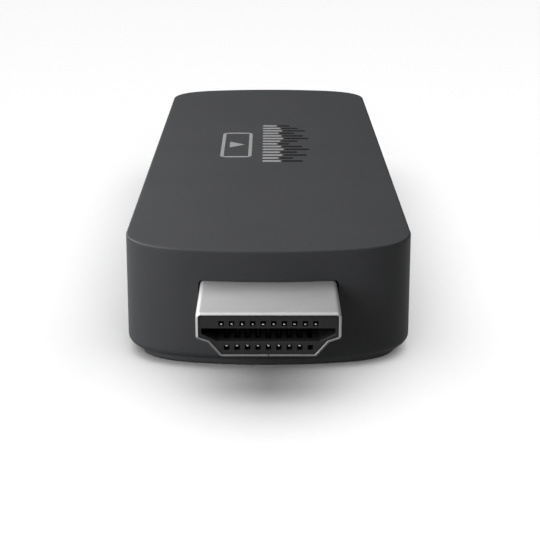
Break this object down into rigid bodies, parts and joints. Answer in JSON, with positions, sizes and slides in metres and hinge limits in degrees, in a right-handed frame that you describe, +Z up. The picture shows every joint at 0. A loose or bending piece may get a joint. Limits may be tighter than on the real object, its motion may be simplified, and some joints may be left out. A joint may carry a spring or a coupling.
{
  "type": "streaming media player",
  "caption": "Slim moulded media stick with bowed ends, a metal audio/video plug fixed in its front end and a small power inlet in one long side.",
  "frame": {"origin": "middle of the underside of the whole object's box, on the surface that it rests on", "axes": "+X to the right across the stick, the plug faces -Y, +Z up out of the top face"},
  "size_m": [0.0302, 0.0948, 0.013],
  "materials": {
    "housing_plastic": "fine moulded texture",
    "base_plastic": "fine moulded texture",
    "plug_steel": "satin nickel plate",
    "plug_plastic": "smooth",
    "contact_gold": "thin gold plate",
    "inlet_steel": "satin nickel plate",
    "inlet_plastic": "smooth",
    "board_laminate": "solder mask",
    "package_epoxy": "moulded epoxy",
    "inductor_ferrite": "matt",
    "crystal_can": "satin",
    "capacitor_ceramic": "satin",
    "resistor_ceramic": "satin",
    "protector_epoxy": "moulded epoxy",
    "shield_tin": "tin plate",
    "pad_silicone": "soft, matt",
    "spreader_aluminium": "blasted",
    "antenna_plastic": "smooth",
    "antenna_metal": "plated strip",
    "spring_metal": "gold plate"
  },
  "bodies": {
    "root": {"antenna_carrier": "antenna_plastic", "antenna_spring_contacts": "spring_metal", "base_cover": "base_plastic", "ceramic_capacitors": "capacitor_ceramic", "crystals": "crystal_can", "inlet_contacts": "contact_gold", "inlet_insulator": "inlet_plastic", "inlet_shell": "inlet_steel", "left_antenna": "antenna_metal", "lower_heat_spreader": "spreader_aluminium", "lower_shield_frame": "shield_tin", "lower_shield_lid": "shield_tin", "lower_spreader_pad": "pad_silicone", "main_board": "board_laminate", "memory_package": "package_epoxy", "plug_contact_carrier": "plug_plastic", "plug_contacts_lower": "contact_gold", "plug_contacts_upper": "contact_gold", "plug_insulator": "plug_plastic", "plug_shell": "plug_steel", "power_inductors": "inductor_ferrite", "power_management_package": "package_epoxy", "processor_package": "package_epoxy", "processor_pad": "pad_silicone", "resistors": "resistor_ceramic", "right_antenna": "antenna_metal", "storage_package": "package_epoxy", "surge_protectors": "protector_epoxy", "top_cover": "housing_plastic", "upper_heat_spreader": "spreader_aluminium", "upper_shield_frame": "shield_tin", "upper_shield_lid": "shield_tin", "upper_spreader_pad": "pad_silicone", "wireless_package": "package_epoxy"}
  },
  "joints": []
}
